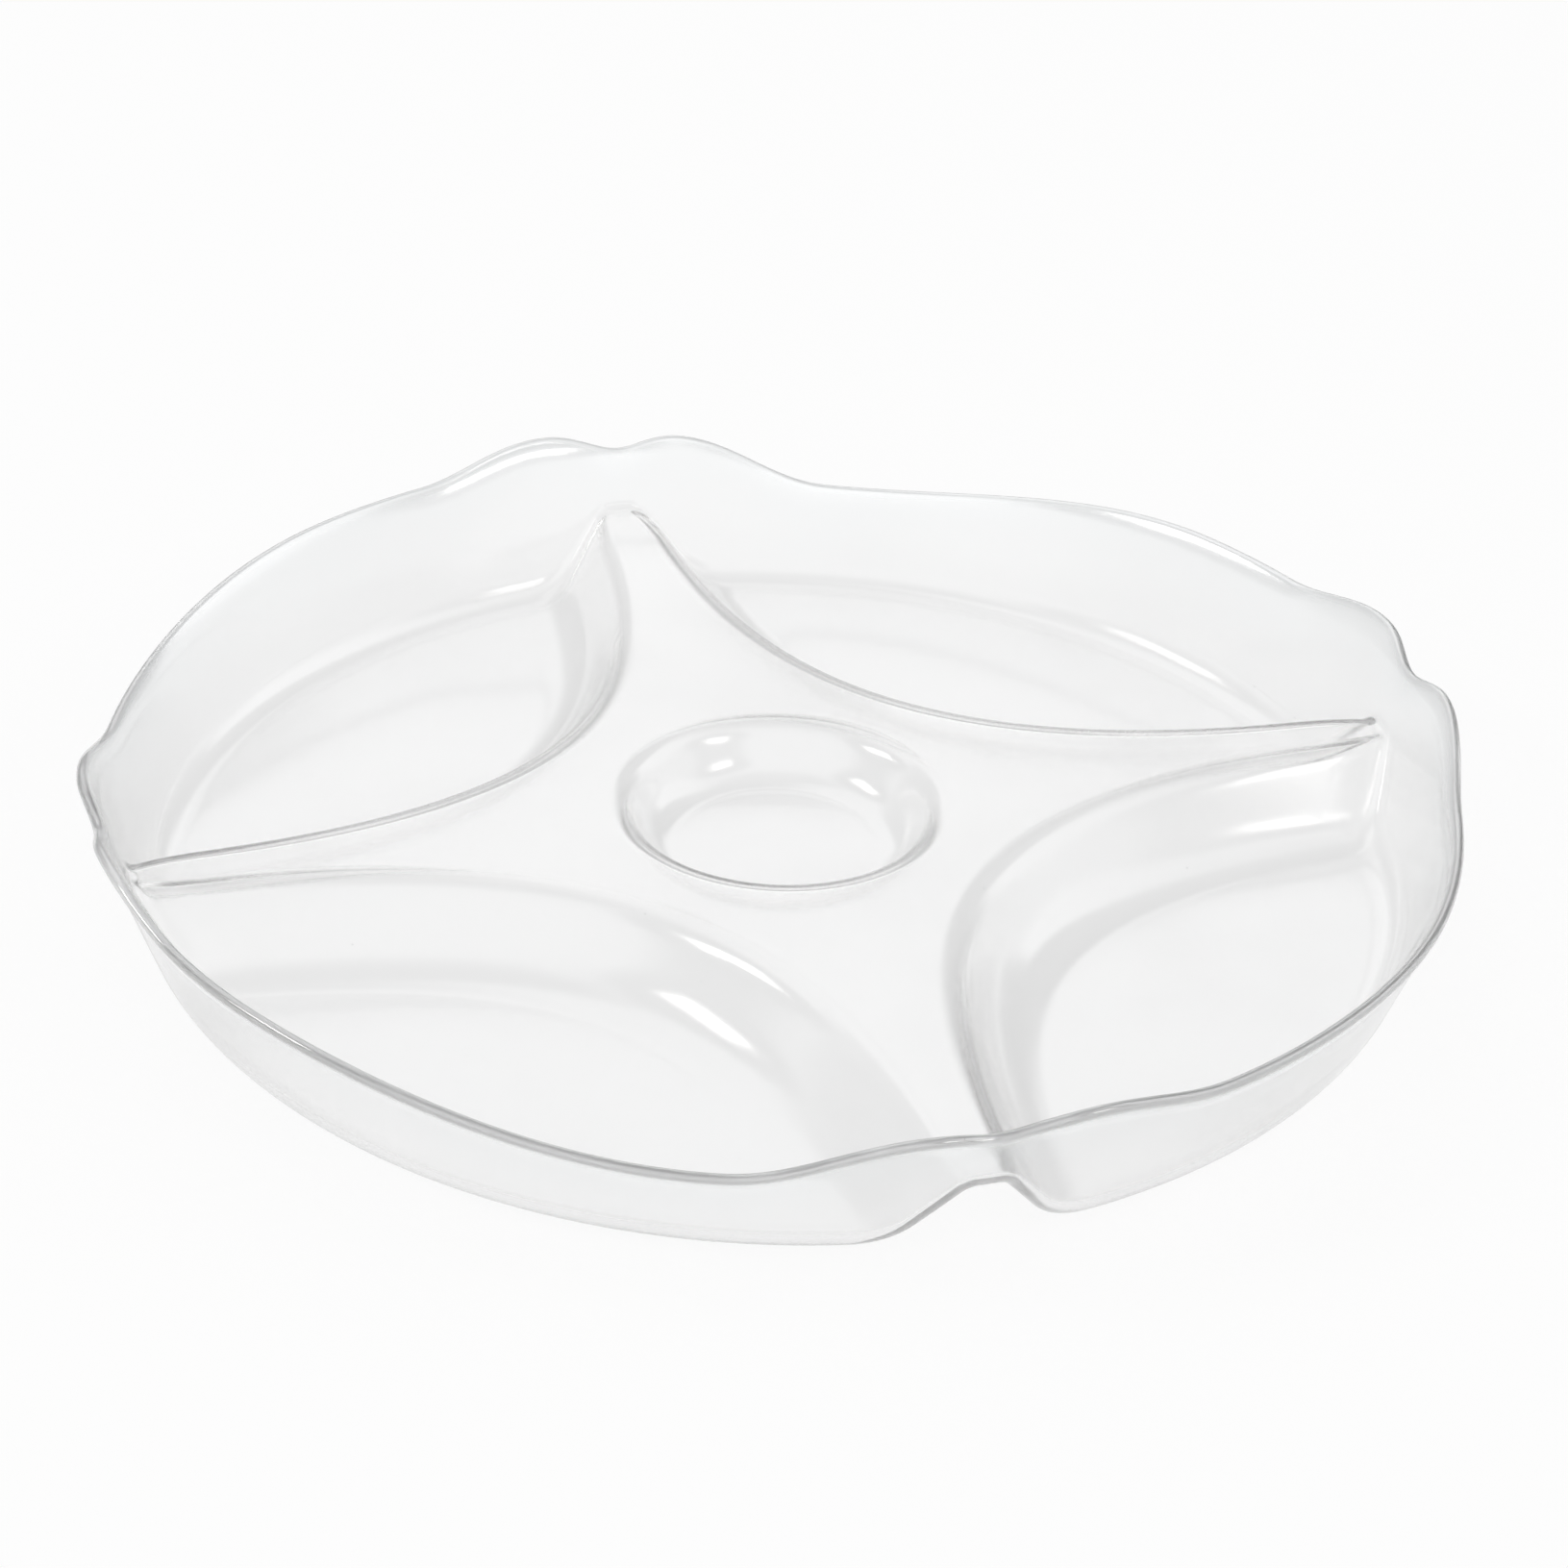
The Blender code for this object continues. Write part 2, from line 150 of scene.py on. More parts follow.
@dataclass(frozen=True)
class DishShape:
    """The sizes of the moulded sheet, in metres and radians, and the height of its top face."""

    sheet: float = 0.0022
    base_radius: float = 0.1272
    wall_lean: float = math.radians(19.5)
    foot_bend: float = 0.0054
    arch_bend: float = 0.0020
    flare_lean: float = math.radians(50.0)
    flare_bend: float = 0.0040
    rim_lean: float = math.radians(21.8)
    rim_level: float = 0.0308
    hump_rise: float = 0.0050
    hump_angle: float = math.radians(7.3)
    hump_spread: float = math.radians(12.8)
    deep_dip: float = 0.0075
    shallow_dip: float = 0.0037
    dip_angle: float = math.radians(22.2)
    dip_run: float = math.radians(37.5)
    dip_rise: float = math.radians(25.0)
    notch_drop: float = 0.0012
    notch_pinch: float = 0.0014
    notch_spread: float = math.radians(6.0)
    star_height: float = 0.0190
    star_waist: float = 0.0467
    arm_half: float = 0.0040
    tip_start: float = 0.1180
    tip_taper: float = 0.0008
    flank_width: float = 0.0235
    flank_taper: float = 0.0055
    crest_bend: float = 0.0080
    flank_foot_bend: float = 0.0152
    cup_lip: float = 0.0355
    cup_floor: float = 0.0210
    cup_depth: float = 0.0112
    cup_lip_bend: float = 0.0060
    cup_floor_bend: float = 0.0080

    @property
    def edge_reach(self) -> float:
        """How far beyond their crossing each star edge, a parabola, touches the sides of two arms."""
        return 4 * (self.star_waist / math.sqrt(2) - self.arm_half)

    def from_arm(self, angle: Array, arm: Arm) -> Array:
        """The angle measured from one arm, wrapped to half a turn either way."""
        return (angle - arm.angle + math.pi) % (2 * math.pi) - math.pi

    def rim_height(self, angle: Array) -> Array:
        """The height of the rim: two humps and a notch at each arm, and a long dip on one side.

        Args:
            angle: Directions round the dish.

        Returns:
            A level height, plus a raised cosine for each hump, less one for each notch and dip.
        """
        height = np.full_like(angle, self.rim_level)
        for arm in Arm:
            offset = self.from_arm(angle, arm)
            for side in (-1, 1):
                from_hump = offset + side * self.hump_angle
                height += self.hump_rise * raised_cosine(from_hump, self.hump_spread)
            height -= self.notch_drop * raised_cosine(offset, self.notch_spread)
            from_dip = offset + self.dip_angle
            dip = self.deep_dip if arm.dips_deeply else self.shallow_dip
            dip_spread = np.where(from_dip < 0, self.dip_run, self.dip_rise)
            height -= dip * raised_cosine(from_dip, dip_spread)
        return height

    def rim_radius(self, angle: Array) -> Array:
        """The radius of the rim's edge, which lies on a cone and is pinched in at each arm."""
        pinch = sum(raised_cosine(self.from_arm(angle, arm), self.notch_spread) for arm in Arm)
        cone = self.base_radius + self.rim_height(angle) * math.tan(self.rim_lean)
        return cone - self.notch_pinch * pinch

    def edge_lean(self, x: Array, y: Array) -> Array:
        """Where a point lies between two arms: 0 midway, 1 or -1 beside the end of either arm."""
        return np.clip((np.abs(x) - np.abs(y)) / self.edge_reach, -1, 1)

    def star_distance(self, x: Array, y: Array) -> Array:
        """How far a point lies outside the star, whose edge is a parabola between tapering arms.

        Args:
            x: Places across the dish.
            y: Places along the dish.

        Returns:
            The height of the parabola over its tangent corner, scaled by its slope, so that it
            is close to the true distance beside the edge.
        """
        lean = self.edge_lean(x, y)
        blend = self.edge_reach * (1 - np.abs(lean)) ** 2 / 4
        along = np.maximum(np.abs(x), np.abs(y)) - self.tip_start
        taper = self.tip_taper * (np.clip(along, 0, None) / (self.base_radius - self.tip_start)) ** 2
        nearest = np.minimum(np.abs(x), np.abs(y)) - self.arm_half + taper
        return (nearest - blend) / np.sqrt((1 + lean * lean) / 2)

    def flank_run(self, x: Array, y: Array) -> Array:
        """How far a flank runs out from the star's edge, tapering by the fourth power of the lean."""
        return self.flank_width - self.flank_taper * self.edge_lean(x, y) ** 4

    def bed_height(self, x: Array, y: Array) -> Array:
        """The star's height, less the ramp down its flanks and the ramp down into the cup.

        Args:
            x: Places across the dish.
            y: Places along the dish.

        Returns:
            The height of the bed, where both bends of a flank tighten with the square of its run.
        """
        run = self.flank_run(x, y)
        tightness = (run / self.flank_width) ** 2
        crest_bend, foot_bend = self.crest_bend * tightness, self.flank_foot_bend * tightness
        drop = self.star_height - self.sheet
        flank = ramp(self.star_distance(x, y), run, drop, crest_bend, foot_bend)
        cup_run = self.cup_lip - self.cup_floor
        inside_lip = self.cup_lip - np.hypot(x, y)
        cup = ramp(inside_lip, cup_run, self.cup_depth, self.cup_lip_bend, self.cup_floor_bend)
        return self.star_height - flank - cup

    def bend_length(self, bed: Array) -> Array:
        """The length of the bend up into the wall, which changes evenly from the wells to the arms."""
        share = (bed - self.sheet) / (self.star_height - self.sheet)
        return self.foot_bend + (self.arch_bend - self.foot_bend) * share

    def foot_radius(self, x: Array, y: Array) -> Array:
        """The radius at which the bend up into the outer wall begins, above the bed at this point."""
        bed = self.bed_height(x, y)
        return self.base_radius + bed * math.tan(self.wall_lean) - self.bend_length(bed)

    def flare_corner(self, angle: Array) -> Array:
        """The radius at which the straight wall and the flare that hangs from the rim would meet."""
        wall_slope, flare_slope = 1 / math.tan(self.wall_lean), 1 / math.tan(self.flare_lean)
        rim_drop = self.rim_height(angle) - (self.rim_radius(angle) - self.base_radius) * flare_slope
        return self.base_radius + rim_drop / (wall_slope - flare_slope)

    def top_height(self, x: Array, y: Array) -> Array:
        """The top face: the bed, a parabolic bend up into the wall, and one out into the flare.

        Args:
            x: Places across the dish.
            y: Places along the dish.

        Returns:
            The height of the top face above the table at each place.
        """
        angle = np.arctan2(y, x)
        radius = np.hypot(x, y)
        bed = self.bed_height(x, y)
        wall = (radius - self.base_radius) / math.tan(self.wall_lean)
        bend = self.bend_length(bed)
        reach = (radius - self.base_radius - bed * math.tan(self.wall_lean)) / bend
        _, rise = round_bend(reach, QUARTER, self.wall_lean)
        corner = self.flare_corner(angle)
        flare = self.rim_height(angle) - (self.rim_radius(angle) - radius) / math.tan(self.flare_lean)
        turn, climb = round_bend((radius - corner) / self.flare_bend, self.wall_lean, self.flare_lean)
        turned_out = (corner - self.base_radius) / math.tan(self.wall_lean) + climb * self.flare_bend
        height = np.where(reach < math.sin(self.wall_lean), bed + rise * bend, wall)
        return np.where(turn <= 0, height, np.where(turn < 1, turned_out, flare))


@dataclass
class Face:
    """One face of the sheet as a polar grid of points, whose rows follow the edges of the shape."""

    shape: DishShape
    cup_floor_rows: int = 4
    cup_wall_rows: int = 18
    star_rows: int = 4
    flank_rows: int = 24
    floor_rows: int = 4
    foot_rows: int = 14
    wall_rows: int = 4
    flare_rows: int = 9
    solver_steps: int = 40
    slope_step: float = 0.00001
    least_step: float = 0.0012

    def crossing(self, angle: Array, run_share: float, limit: Array) -> Array:
        """The radius at which a ray has crossed a share of the flank, found by halving.

        Args:
            angle: The directions of the rays.
            run_share: 0 for the star's edge and 1 for the foot of the flank.
            limit: The greatest radius to look at, which is returned where there is no crossing.

        Returns:
            The radius of the crossing on each ray.
        """
        inner = np.full_like(angle, self.shape.cup_lip)
        outer = limit.copy()
        for _ in range(self.solver_steps):
            middle = (inner + outer) / 2
            x, y = middle * np.cos(angle), middle * np.sin(angle)
            beyond = self.shape.star_distance(x, y) > run_share * self.shape.flank_run(x, y)
            outer = np.where(beyond, middle, outer)
            inner = np.where(beyond, inner, middle)
        return outer

    def wall_foot(self, angle: Array) -> Array:
        """The radius at which the bend into the outer wall begins, found by repeated substitution."""
        radius = np.full_like(angle, self.shape.base_radius)
        for _ in range(self.solver_steps):
            radius = self.shape.foot_radius(radius * np.cos(angle), radius * np.sin(angle))
        return radius

    def row_radii(self, angle: Array) -> Array:
        """The radii of the grid's rows along each column, which run evenly from edge to edge.

        Args:
            angle: The columns' directions.

        Returns:
            One row of radii per column, from beside the centre to where the rim's edge rounds.
        """
        shape = self.shape
        foot = self.wall_foot(angle)
        flank_foot = self.crossing(angle, 1, foot - self.least_step)
        star_edge = self.crossing(angle, 0, flank_foot - 2 * self.least_step)
        bed = shape.bed_height(foot * np.cos(angle), foot * np.sin(angle))
        bend_end = foot + shape.bend_length(bed) * (1 + math.sin(shape.wall_lean))
        flare_start = shape.flare_corner(angle) - shape.flare_bend * math.sin(shape.wall_lean)
        flare_start = np.maximum(flare_start, bend_end + self.least_step / 4)
        rim = shape.rim_radius(angle) - shape.sheet / 2 * math.sin(shape.flare_lean)
        ring = np.ones_like(angle)
        knots = [0 * ring, shape.cup_floor * ring, shape.cup_lip * ring, star_edge, flank_foot]
        knots += [foot, bend_end, flare_start, rim]
        counts = [self.cup_floor_rows, self.cup_wall_rows, self.star_rows, self.flank_rows]
        counts += [self.floor_rows, self.foot_rows, self.wall_rows, self.flare_rows]
        spans = [
            np.linspace(first, last, count, endpoint=False, axis=1)
            for first, last, count in zip(knots, knots[1:], counts)
        ]
        return np.concatenate([*spans, rim[:, None]], axis=1)[:, 1:]

    def slopes(self, x: Array, y: Array) -> tuple[Array, Array]:
        """The slope of the face across and along the dish, by central differences."""
        step, height = self.slope_step, self.shape.top_height
        across = (height(x + step, y) - height(x - step, y)) / (2 * step)
        along = (height(x, y + step) - height(x, y - step)) / (2 * step)
        return across, along

    def points(self, angle: Array, radius: Array) -> tuple[Array, Array]:
        """The face's points and its upward normals, which are the slopes turned through a right angle.

        Args:
            angle: The columns' directions.
            radius: The rows' radii along each column.

        Returns:
            Points and unit normals, each by column, row and axis.
        """
        x, y = radius * np.cos(angle)[:, None], radius * np.sin(angle)[:, None]
        across, along = self.slopes(x, y)
        normal = np.stack([-across, -along, np.ones_like(x)], axis=-1)
        normal /= np.linalg.norm(normal, axis=-1, keepdims=True)
        return np.stack([x, y, self.shape.top_height(x, y)], axis=-1), normal


@dataclass
class Moulding:
    """The whole dish as one closed shell between an upper and a lower face.

    The upper face turns up into the wall in a wide bend, and the lower face in a tighter one.
    """

    upper: Face = field(default_factory=lambda: Face(DishShape()))
    lower_foot_bend: float = 0.0046
    lower_arch_bend: float = 0.0010
    quarter_columns: int = 144
    arm_crowding: float = 0.62
    cap_rows: int = 8
    rim_zone: float = 0.0080

    @property
    def shape(self) -> DishShape:
        """The shape of the upper face."""
        return self.upper.shape

    @property
    def lower(self) -> Face:
        """The face that the underside is set off from, which differs only in its bend at the wall."""
        bends = {"foot_bend": self.lower_foot_bend, "arch_bend": self.lower_arch_bend}
        return replace(self.upper, shape=replace(self.shape, **bends))

    def column_angles(self) -> Array:
        """Directions round the dish: even steps less a sine in each quarter, to crowd at the arms."""
        share = np.arange(4 * self.quarter_columns) / self.quarter_columns
        return QUARTER * (share - self.arm_crowding * np.sin(2 * np.pi * share) / (2 * np.pi))

    def rim_share(self, radius: Array) -> Array:
        """How near the rim each row lies: 1 where the edge rounds, falling evenly over the rim zone."""
        return np.clip(1 - (radius[:, -1:] - radius) / self.rim_zone, 0, 1)

    def skin(self, angle: Array) -> tuple[Array, Array]:
        """The shell's points: the upper face, a half-round rim, and the underside.

        The underside lies one thickness along the lower face's normal. The rim is half a circle
        about the middle of the sheet, swept from the normal to the outward slope and on.

        Args:
            angle: The columns' directions.

        Returns:
            Points by column, row and axis, from beside the centre above to the centre below, and
            how near the rim each lies: 1 on the rounded edge, falling to 0 across the rim zone.
        """
        upper_radius, lower_radius = self.upper.row_radii(angle), self.lower.row_radii(angle)
        top, normal = self.upper.points(angle, upper_radius)
        base, base_normal = self.lower.points(angle, lower_radius)
        below = base - self.shape.sheet * base_normal
        edge_normal = normal[:, -1:]
        around = np.stack([-np.sin(angle), np.cos(angle), np.zeros_like(angle)], axis=-1)[:, None]
        outward = np.cross(around, edge_normal)
        outward /= np.linalg.norm(outward, axis=-1, keepdims=True)
        turn = np.linspace(0, math.pi, self.cap_rows + 1)[None, 1:-1, None]
        half = self.shape.sheet / 2
        sweep = np.cos(turn) * edge_normal + np.sin(turn) * outward
        cap = top[:, -1:] - half * edge_normal + half * sweep
        points = np.concatenate([top, cap, below[:, ::-1]], axis=1)
        above, under = self.rim_share(upper_radius), self.rim_share(lower_radius)
        share = np.concatenate([above, np.ones(cap.shape[:2]), under[:, ::-1]], axis=1)
        return points, share

    def faces(self, columns: int, rows: int) -> tuple[Array, Array]:
        """The faces of the closed grid: quads round the ring, and a fan of triangles at each pole.

        Args:
            columns: How many columns the ring has.
            rows: How many rows each column has.

        Returns:
            The quads and the triangles, as indices of points that turn anticlockwise from outside.
        """
        here = np.arange(columns)[:, None] * rows
        there = (np.arange(columns)[:, None] + 1) % columns * rows
        row = np.arange(rows - 1)[None, :]
        corners = [here + row, here + row + 1, there + row + 1, there + row]
        quads = np.stack(corners, axis=-1).reshape(-1, 4)
        above, under = columns * rows, columns * rows + 1
        first, last = here[:, 0], here[:, 0] + rows - 1
        fan_above = np.stack([np.full(columns, above), first, there[:, 0]], axis=-1)
        fan_under = np.stack([np.full(columns, under), there[:, 0] + rows - 1, last], axis=-1)
        return quads, np.concatenate([fan_above, fan_under])

    def build(self) -> bpy.types.Object:
        """Makes the shell's mesh and its object, at the origin.

        Returns:
            The object, linked to the scene.
        """
        angle = self.column_angles()
        skin, rim_share = self.skin(angle)
        columns, rows = skin.shape[:2]
        floor_top = self.shape.star_height - self.shape.cup_depth
        poles = np.array([[0, 0, floor_top], [0, 0, floor_top - self.shape.sheet]])
        points = np.concatenate([skin.reshape(-1, 3), poles])
        quads, fans = self.faces(columns, rows)
        mesh = bpy.data.meshes.new("dish_moulding")
        mesh.from_pydata(points.tolist(), [], quads.tolist() + fans.tolist())
        mesh.shade_smooth()
        share = np.concatenate([rim_share.ravel(), np.zeros(len(poles))])
        attribute = mesh.attributes.new(RIM_ATTRIBUTE, "FLOAT", "POINT")
        attribute.data.foreach_set("value", share.astype(np.float32))
        piece = bpy.data.objects.new("dish_moulding", mesh)
        bpy.context.scene.collection.objects.link(piece)
        log.info("dish_moulding: %d points, %d faces", len(points), len(mesh.polygons))
        return piece

    def dress(self, piece: bpy.types.Object, material: bpy.types.Material, nodes: list[str]) -> None:
        """Gives the shell its finish, and lets it stand for the CAD regions.

        Args:
            piece: The shell's object.
            material: The finish of the moulding.
            nodes: The names of the CAD nodes that the shell stands for.
        """
        piece.data.materials.append(material)
        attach(piece, "root")
        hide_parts(*nodes)


class NodeBench:
    """Adds nodes to one node tree, with plain values set on their sockets and the rest linked."""

    def __init__(self, tree: Nodes) -> None:
        """Keeps the tree that the nodes go into."""
        self.tree = tree

    def set(self, socket: Socket, value: Socket | float | tuple[float, ...]) -> None:
        """Links a socket to another one, or gives it a plain value."""
        if isinstance(value, bpy.types.NodeSocket):
            self.tree.links.new(value, socket)
        else:
            socket.default_value = value

    def add(self, kind: str, sockets: dict | None = None, **settings: object) -> bpy.types.Node:
        """Adds one node.

        Args:
            kind: Blender's name for the node type.
            sockets: Input sockets by name or place, each with a value or with a socket to link.
            settings: The node's own settings.

        Returns:
            The new node.
        """
        node = self.tree.nodes.new(kind)
        for name, setting in settings.items():
            setattr(node, name, setting)
        for name, value in (sockets or {}).items():
            self.set(node.inputs[name], value)
        return node

    def sum(self, operation: str, first: Socket | float, second: Socket | float) -> Socket:
        """One sum of two values."""
        return self.add("ShaderNodeMath", {0: first, 1: second}, operation=operation).outputs[0]

    def step(self, value: Socket, limits: Limits) -> Socket:
        """A smooth step from 0 to 1, as a value goes from the first limit to the second."""
        sockets = {"Value": value, "From Min": limits[0], "From Max": limits[1]}
        node = self.add("ShaderNodeMapRange", sockets, interpolation_type="SMOOTHSTEP")
        return node.outputs["Result"]

    def noise(self, place: Socket, scale: float = 1.0, detail: float = SOFT_DETAIL) -> Socket:
        """Cloudy noise about a half, with so many clouds to the metre."""
        sockets = {"Vector": place, "Scale": scale, "Detail": detail}
        return self.add("ShaderNodeTexNoise", sockets).outputs["Fac"]

    def weigh(self, start: float, weights: dict[Socket, float]) -> Socket:
        """A starting value plus each of some values times its own weight."""
        total: Socket | float = start
        for value, weight in weights.items():
            sockets = {0: value, 1: weight, 2: total}
            total = self.add("ShaderNodeMath", sockets, operation="MULTIPLY_ADD").outputs[0]
        return total

    def mix(self, share: Socket, first: Socket | float, second: Socket | float) -> Socket:
        """A blend of two plain values, by the share of the second."""
        sockets = {"Factor": share, "A": first, "B": second}
        return self.add("ShaderNodeMix", sockets).outputs["Result"]

    def mix_colours(self, share: Socket, first: Socket | Colour, second: Socket | Colour) -> Socket:
        """A blend of two colours, by the share of the second."""
        sockets = {"Factor": share, "A": first, "B": second}
        return self.add("ShaderNodeMix", sockets, data_type="RGBA").outputs["Result"]

    def stretched(self, place: Socket, turn: float, scale: tuple[float, float, float]) -> Socket:
        """Places turned about the dish's axis and then drawn out along each axis."""
        sockets = {"Vector": place, "Rotation": (0.0, 0.0, turn), "Scale": scale}
        return self.add("ShaderNodeMapping", sockets).outputs["Vector"]


@dataclass(frozen=True)
class ClearPlastic:
    """Clear, colourless polished plastic, with the faint marks of moulding and handling.

    Heights are in millimetres, reaches in metres, and scales in marks to the metre. The edge is the rim
    zone, and the bevel is its rounded end: both fall off as powers of the share of the rim. Over the
    edge the tint turns darker and bluer: painted shade for the bluish-grey line along the rim.
    """

    clear_tint: Colour = (0.992, 0.9925, 0.992, 1.0)
    # The rim zone's tint, darker and bluer than the clear tint: painted shade for the bluish-grey line
    # along the rim.
    rim_shade_tint: Colour = (0.965, 0.977, 0.981, 1.0)
    dust_tint: Colour = (0.50, 0.51, 0.51, 1.0)
    refraction: float = 1.49
    polish: float = 0.12
    rim_shade_fall: float = 1.7
    bevel_fall: float = 8.0
    bevel_dulling: float = 0.20
    bevel_gloss: float = 2.2
    bevel_polish: float = 0.10
    smudge_scale: float = 19.0
    smudge_levels: Limits = (0.45, 0.70)
    smudge_dulling: float = 0.05
    wave_scale: float = 42.0
    wave_height: float = 0.02
    grain_scale: float = 760.0
    grain_height: float = 0.0012
    dust_scale: float = 115.0
    dust_limits: Limits = (0.024, 0.0096)
    scratch_turns: tuple[float, ...] = (0.4, 1.35, 2.6)
    scratch_scale: tuple[float, float, float] = (9.0, 900.0, 9.0)
    scratch_levels: Limits = (0.77, 0.81)
    scratch_dulling: float = 0.06
    draw_scale: tuple[float, float, float] = (780.0, 780.0, 24.0)
    draw_height: float = 0.008
    draw_sides: Limits = (0.030, 0.010)
    draw_reach: Limits = (0.124, 0.130)
    frost_scale: float = 1500.0
    frost_reach: Limits = (0.110, 0.140)
    frost_height: float = 0.03

    def dust(self, bench: NodeBench, place: Socket) -> Socket:
        """A mask of small specks: the middles of scattered cells, out to the dust limits."""
        cells = bench.add("ShaderNodeTexVoronoi", {"Vector": place, "Scale": self.dust_scale})
        return bench.step(cells.outputs["Distance"], self.dust_limits)

    def scratches(self, bench: NodeBench, place: Socket) -> Socket:
        """A mask of hairlines: the peaks of noise that is drawn out along a few directions."""
        total: Socket | float = 0.0
        for turn in self.scratch_turns:
            lines = bench.noise(bench.stretched(place, turn, self.scratch_scale))
            total = bench.sum("MAXIMUM", bench.step(lines, self.scratch_levels), total)
        return total

    def draw_lines(self, bench: NodeBench, place: Socket) -> Socket:
        """Fine upright lines left by the mould on the wall at the end of each arm, as a height."""
        split = bench.add("ShaderNodeSeparateXYZ", {0: place})
        across = bench.sum("ABSOLUTE", split.outputs["X"], 0.0)
        along = bench.sum("ABSOLUTE", split.outputs["Y"], 0.0)
        beside = bench.step(bench.sum("MINIMUM", across, along), self.draw_sides)
        outside = bench.step(bench.sum("MAXIMUM", across, along), self.draw_reach)
        lines = bench.noise(bench.stretched(place, 0.0, self.draw_scale), detail=FINE_DETAIL)
        return bench.sum("MULTIPLY", lines, bench.sum("MULTIPLY", beside, outside))

    def frost(self, bench: NodeBench, place: Socket, bevel: Socket) -> Socket:
        """The rough, sparkling bite on the rim by the right arm, as a height."""
        split = bench.add("ShaderNodeSeparateXYZ", {0: place})
        right = bench.step(split.outputs["X"], self.frost_reach)
        bite = bench.noise(place, self.frost_scale)
        return bench.sum("MULTIPLY", bite, bench.sum("MULTIPLY", right, bevel))

    def material(self) -> bpy.types.Material:
        """Builds the finish.

        Returns:
            A see-through material, with a glossy skin on the rim's edge alone.
        """
        material = bpy.data.materials.new("clear_plastic")
        material.use_nodes = True
        bench = NodeBench(material.node_tree)
        shader = material.node_tree.nodes["Principled BSDF"]
        shader.inputs["Metallic"].default_value = 0.0
        shader.inputs["Transmission Weight"].default_value = 1.0
        shader.inputs["IOR"].default_value = self.refraction
        place = bench.add("ShaderNodeTexCoord").outputs["Object"]
        rim = bench.add("ShaderNodeAttribute", attribute_name=RIM_ATTRIBUTE).outputs["Fac"]
        edge = bench.sum("POWER", rim, self.rim_shade_fall)
        bevel = bench.sum("POWER", rim, self.bevel_fall)
        dust = self.dust(bench, place)
        # Towards the rim the tint turns darker and bluer: painted shade for the bluish-grey line along
        # the rim.
        tint = bench.mix_colours(edge, self.clear_tint, self.rim_shade_tint)
        bench.set(shader.inputs["Base Color"], bench.mix_colours(dust, tint, self.dust_tint))
        clouds = bench.noise(place, self.smudge_scale, FINE_DETAIL)
        smudge = bench.step(clouds, self.smudge_levels)
        dulling = {bevel: self.bevel_dulling, smudge: self.smudge_dulling}
        dulling[self.scratches(bench, place)] = self.scratch_dulling
        bench.set(shader.inputs["Roughness"], bench.weigh(self.polish, dulling))
        waves = bench.noise(place, self.wave_scale)
        grain = bench.noise(place, self.grain_scale)
        relief = {waves: self.wave_height, grain: self.grain_height}
        relief[self.draw_lines(bench, place)] = self.draw_height
        relief[self.frost(bench, place, bevel)] = self.frost_height
        height = bench.weigh(0.0, relief)
        bump = bench.add("ShaderNodeBump", {"Height": height, "Distance": MILLIMETRE})
        bench.set(shader.inputs["Normal"], bump.outputs["Normal"])
        bench.set(shader.inputs["Coat Weight"], bevel)
        shader.inputs["Coat IOR"].default_value = self.bevel_gloss
        shader.inputs["Coat Roughness"].default_value = self.bevel_polish
        return material


def towards(direction: Direction) -> Vector:
    """The unit vector towards an azimuth from +X and an elevation, both in degrees."""
    azimuth, elevation = math.radians(direction[0]), math.radians(direction[1])
    level = math.cos(elevation)
    return Vector((level * math.cos(azimuth), level * math.sin(azimuth), math.sin(elevation)))


@dataclass(frozen=True)
class RoomPatch:
    """A soft-edged round patch of the room that is brighter or dimmer than the rest.

    The direction is its azimuth from +X and its elevation. The patch is whole out to its inner angle
    and gone at its outer one. All angles are in degrees.
    """

    direction: Direction
    level: float
    inner: float
    outer: float

    def paint(self, bench: NodeBench, way: Socket, behind: Socket | float) -> Socket:
        """Lays the patch over the levels behind it, by the angle between a ray and its middle.

        Args:
            bench: The world's node bench.
            way: The direction of the ray.
            behind: The level of the room without the patch.

        Returns:
            The level of the room with the patch.
        """
        middle = tuple(towards(self.direction))
        facing = bench.add("ShaderNodeVectorMath", {0: way, 1: middle}, operation="DOT_PRODUCT")
        edges = math.cos(math.radians(self.outer)), math.cos(math.radians(self.inner))
        return bench.mix(bench.step(facing.outputs["Value"], edges), behind, self.level)


@dataclass(frozen=True)
class Softbox:
    """A soft lamp that hangs in a given direction, in degrees, and faces the dish."""

    name: str
    direction: Direction
    width: float
    height: float
    brightness: float
    distance: float = 2.4
    tint: tuple[float, float, float] = (1.0, 0.985, 0.965)

    def hang(self) -> None:
        """Hangs the lamp, whose power is its brightness times pi times the area of its face."""
        lamp = bpy.data.lights.new(self.name, "AREA")
        lamp.shape = "RECTANGLE"
        lamp.color = self.tint
        lamp.size, lamp.size_y = self.width, self.height
        lamp.energy = self.brightness * math.pi * self.width * self.height
        holder = bpy.data.objects.new(self.name, lamp)
        away = towards(self.direction)
        turn = away.to_track_quat("Z", "Y").to_matrix()
        holder.matrix_world = Matrix.Translation(away * self.distance) @ turn.to_4x4()
        holder.visible_camera = False
        bpy.context.scene.collection.objects.link(holder)


